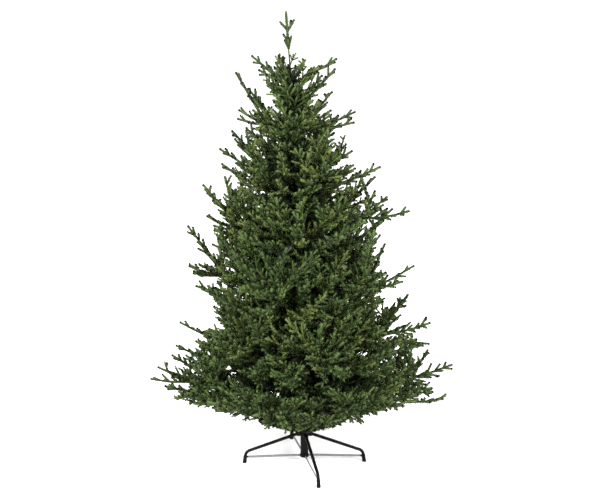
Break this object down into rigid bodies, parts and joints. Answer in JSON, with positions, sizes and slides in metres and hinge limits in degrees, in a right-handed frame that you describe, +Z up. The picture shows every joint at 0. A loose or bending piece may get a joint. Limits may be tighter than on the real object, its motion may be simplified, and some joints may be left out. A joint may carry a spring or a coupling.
{
  "type": "artificial christmas tree",
  "caption": "Full artificial christmas tree: a slim leaning pole carries tiers of green needle foliage above a low folding steel stand with bent tube legs and flat braces.",
  "frame": {"origin": "on the floor under the middle of the stand and of the tree's outline", "axes": "+Z up, +X to the right and +Y away as the tree is first seen; the pole leans a little to -X"},
  "size_m": [1.4175, 1.3624, 2.1],
  "materials": {
    "foliage": "matte green plastic needles",
    "bough": "dark green wrapped wire",
    "pole": "dark green powder coat",
    "black_steel": "semi-gloss black powder coat",
    "grey_steel": "dull grey plating",
    "black_rubber": "matte black"
  },
  "bodies": {
    "root": {"pole": "pole", "first_tier_bough_1": "bough", "first_tier_bough_2": "bough", "first_tier_bough_3": "bough", "first_tier_bough_4": "bough", "first_tier_bough_5": "bough", "first_tier_bough_6": "bough", "second_tier_bough_1": "bough", "second_tier_bough_2": "bough", "second_tier_bough_3": "bough", "second_tier_bough_4": "bough", "second_tier_bough_5": "bough", "first_tier_foliage_1": "foliage", "first_tier_foliage_2": "foliage", "first_tier_foliage_3": "foliage", "first_tier_foliage_4": "foliage", "first_tier_foliage_5": "foliage", "first_tier_foliage_6": "foliage", "second_tier_foliage_1": "foliage", "second_tier_foliage_2": "foliage", "second_tier_foliage_3": "foliage", "second_tier_foliage_4": "foliage", "second_tier_foliage_5": "foliage", "third_tier_foliage_1": "foliage", "third_tier_foliage_2": "foliage", "third_tier_foliage_3": "foliage", "third_tier_foliage_4": "foliage", "third_tier_foliage_5": "foliage", "fourth_tier_foliage_1": "foliage", "fourth_tier_foliage_2": "foliage", "fourth_tier_foliage_3": "foliage", "fourth_tier_foliage_4": "foliage", "fifth_tier_foliage_1": "foliage", "fifth_tier_foliage_2": "foliage", "fifth_tier_foliage_3": "foliage", "fifth_tier_foliage_4": "foliage", "sixth_tier_foliage_1": "foliage", "sixth_tier_foliage_2": "foliage", "sixth_tier_foliage_3": "foliage", "sixth_tier_foliage_4": "foliage", "top_tier_foliage_1": "foliage", "top_tier_foliage_2": "foliage", "top_tier_foliage_3": "foliage", "leader_foliage": "foliage", "stand_socket": "black_steel", "stand_hub": "black_steel", "stand_ring": "black_steel", "stand_eye_screw": "grey_steel", "stand_leg_right": "black_steel", "stand_leg_back": "black_steel", "stand_leg_left": "black_steel", "stand_leg_front": "black_steel", "stand_brace_right": "grey_steel", "stand_brace_back": "grey_steel", "stand_brace_left": "grey_steel", "stand_brace_front": "grey_steel", "stand_cap_right": "black_rubber", "stand_cap_back": "black_rubber", "stand_cap_left": "black_rubber", "stand_cap_front": "black_rubber"}
  },
  "joints": []
}
